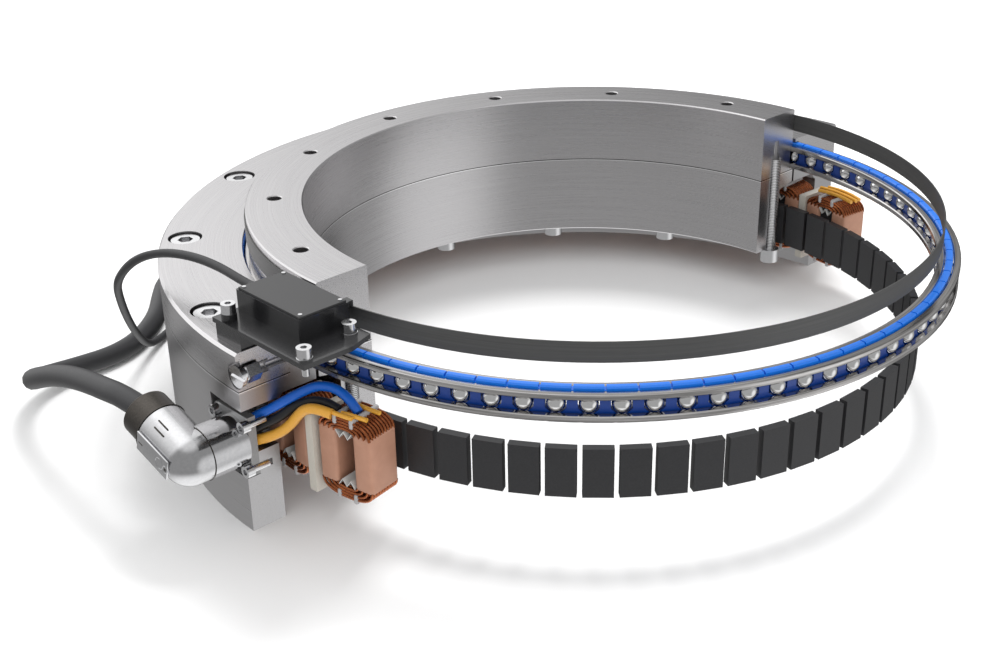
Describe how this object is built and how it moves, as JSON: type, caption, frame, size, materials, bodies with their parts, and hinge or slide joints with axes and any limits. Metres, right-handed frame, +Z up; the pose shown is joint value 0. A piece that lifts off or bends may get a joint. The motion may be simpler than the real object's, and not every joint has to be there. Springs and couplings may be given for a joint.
{
  "type": "frameless motor",
  "caption": "Cutaway frameless ring motor with a wire-race ball bearing, magnets, coils, an encoder read head and a power connector.",
  "frame": {"origin": "on the axis of rotation at the housing's bottom face", "axes": "+Z up along the axis of rotation, +Y into the kept half, +X towards the end without the connector"},
  "size_m": [0.4517, 0.486, 0.1056],
  "materials": {
    "ring_metal": "brushed",
    "housing_metal": "satin",
    "wire_steel": "polished",
    "ball_steel": "polished",
    "cage_plastic": "moulded",
    "tape_steel": "dark matt",
    "magnet": "dark coated",
    "core": "laminated",
    "copper": "enamelled copper wire",
    "post_plastic": "ivory",
    "paper": "matt",
    "screw_steel": "polished",
    "flange_metal": "satin",
    "connector_metal": "nickel plated",
    "nut_metal": "dark satin",
    "lead_blue": "insulation",
    "lead_black": "insulation",
    "lead_yellow": "insulation",
    "cable_rubber": "matt black",
    "head_black": "satin black",
    "head_cover": "grey"
  },
  "bodies": {
    "stator": {"outer_ring_upper": "ring_metal", "outer_ring_lower": "housing_metal", "outer_wire_upper": "wire_steel", "outer_wire_lower": "wire_steel", "stator_core": "core", "stator_coils": "copper", "end_coil_a1": "copper", "end_coil_a2": "copper", "end_coil_b1": "copper", "end_coil_b2": "copper", "slot_post_a": "post_plastic", "slot_post_b": "post_plastic", "slot_liners": "paper", "housing_screws": "screw_steel", "connector_screws": "screw_steel", "head_mount_screws": "screw_steel", "head_washers": "screw_steel", "head_cover_screws": "screw_steel", "grease_plug": "screw_steel", "connector_flange": "flange_metal", "connector_tube": "connector_metal", "connector_elbow": "connector_metal", "connector_nut": "nut_metal", "lead_blue": "lead_blue", "lead_black": "lead_black", "lead_yellow": "lead_yellow", "winding_leads_a": "lead_yellow", "winding_leads_b": "lead_yellow", "power_cable": "cable_rubber", "power_cable_coil": "cable_rubber", "encoder_cable": "cable_rubber", "encoder_cable_coil": "cable_rubber", "power_plug": "cable_rubber", "encoder_plug": "cable_rubber", "head_sleeve": "cable_rubber", "head_foot": "head_black", "head_plate": "head_black", "head_housing": "head_black", "head_tab": "head_black", "head_cover": "head_cover"},
    "rotor": {"inner_ring_upper": "ring_metal", "inner_ring_lower": "ring_metal", "rotor_bolts": "screw_steel", "inner_wire_upper": "wire_steel", "inner_wire_lower": "wire_steel", "encoder_tape": "tape_steel", "rotor_magnets": "magnet"},
    "cage": {"ball_cage": "cage_plastic", "bearing_balls": "ball_steel"}
  },
  "joints": [
    {"name": "rotor_spin", "type": "hinge", "parent": "stator", "child": "rotor", "pos_m": [0, 0, 0], "axis": [0, 0, 1], "continuous": true},
    {"name": "cage_spin", "type": "hinge", "parent": "stator", "child": "cage", "pos_m": [0, 0, 0], "axis": [0, 0, 1], "continuous": true}
  ],
  "couplings": [
    {"joint": "cage_spin", "follows": "rotor_spin", "ratio": 0.4918}
  ]
}
